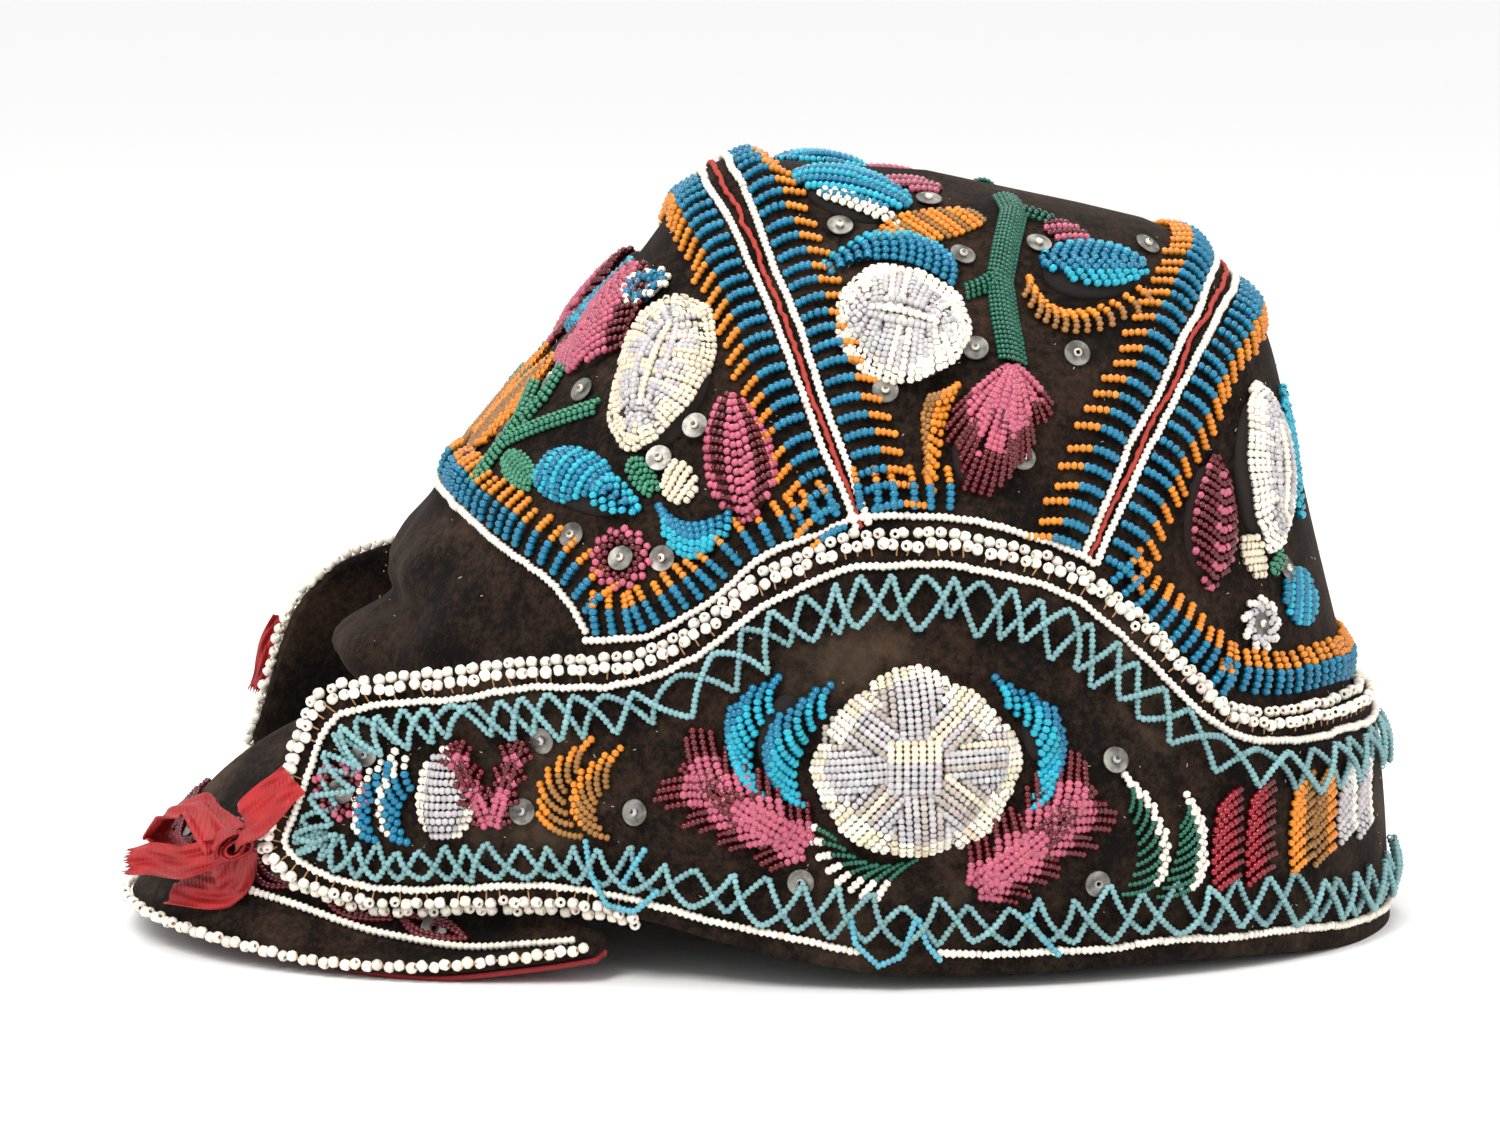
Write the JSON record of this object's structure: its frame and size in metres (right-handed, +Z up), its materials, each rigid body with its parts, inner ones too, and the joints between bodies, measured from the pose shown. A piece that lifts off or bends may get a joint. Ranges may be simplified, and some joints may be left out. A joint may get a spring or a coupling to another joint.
{
  "type": "beaded velvet cap with visor",
  "caption": "Domed velvet cap with a downturned visor, a wide cuff ending in two front flaps, and raised flower beadwork.",
  "frame": {"origin": "middle of the bounding box, on the surface that the cap rests on", "axes": "+Z up as the cap rests, -X the way the visor points, -Y the wearer's left side"},
  "size_m": [0.2696, 0.1708, 0.16],
  "materials": {
    "velvet": "dark brown cotton velvet with a short pile",
    "lining": "plain red cotton",
    "ribbon": "worn red silk ribbon",
    "piping": "twisted red wool cord",
    "white_beads": "chalk-white opaque glass beads",
    "pink_beads": "pink glass beads",
    "blue_beads": "blue glass beads"
  },
  "bodies": {
    "root": {"front_panel": "velvet", "top_strip": "velvet", "back_panel": "velvet", "forehead_gusset": "velvet", "front_seam_cord": "piping", "back_seam_cord": "piping", "band": "velvet", "band_edging": "white_beads", "visor": "velvet", "visor_lining": "lining", "visor_edging": "white_beads", "right_rose_front": "white_beads", "left_rose_front": "white_beads", "right_bud_front": "pink_beads", "left_bud_front": "pink_beads", "right_bud_high": "pink_beads", "left_bud_high": "pink_beads", "right_bud_low": "blue_beads", "left_bud_low": "blue_beads", "right_rose_top": "white_beads", "left_rose_top": "white_beads", "right_bud_top": "pink_beads", "left_bud_top": "pink_beads", "right_leaf_back": "blue_beads", "left_leaf_back": "blue_beads", "right_flower_top": "blue_beads", "left_flower_top": "blue_beads", "right_bud_back": "pink_beads", "left_bud_back": "pink_beads", "right_rose_back": "white_beads", "left_rose_back": "white_beads", "right_rosette": "white_beads", "left_rosette": "white_beads", "right_feather_front": "blue_beads", "left_feather_front": "blue_beads", "right_feather_rear": "blue_beads", "left_feather_rear": "blue_beads", "right_fern_front": "pink_beads", "left_fern_front": "pink_beads", "right_fern_rear": "pink_beads", "left_fern_rear": "pink_beads", "right_fan": "white_beads", "left_fan": "white_beads", "ribbon_knot": "ribbon", "ribbon_loop": "ribbon", "ribbon_tail": "ribbon", "ribbon_fold": "ribbon", "ribbon_strap": "ribbon", "ribbon_scrap": "ribbon"}
  },
  "joints": []
}
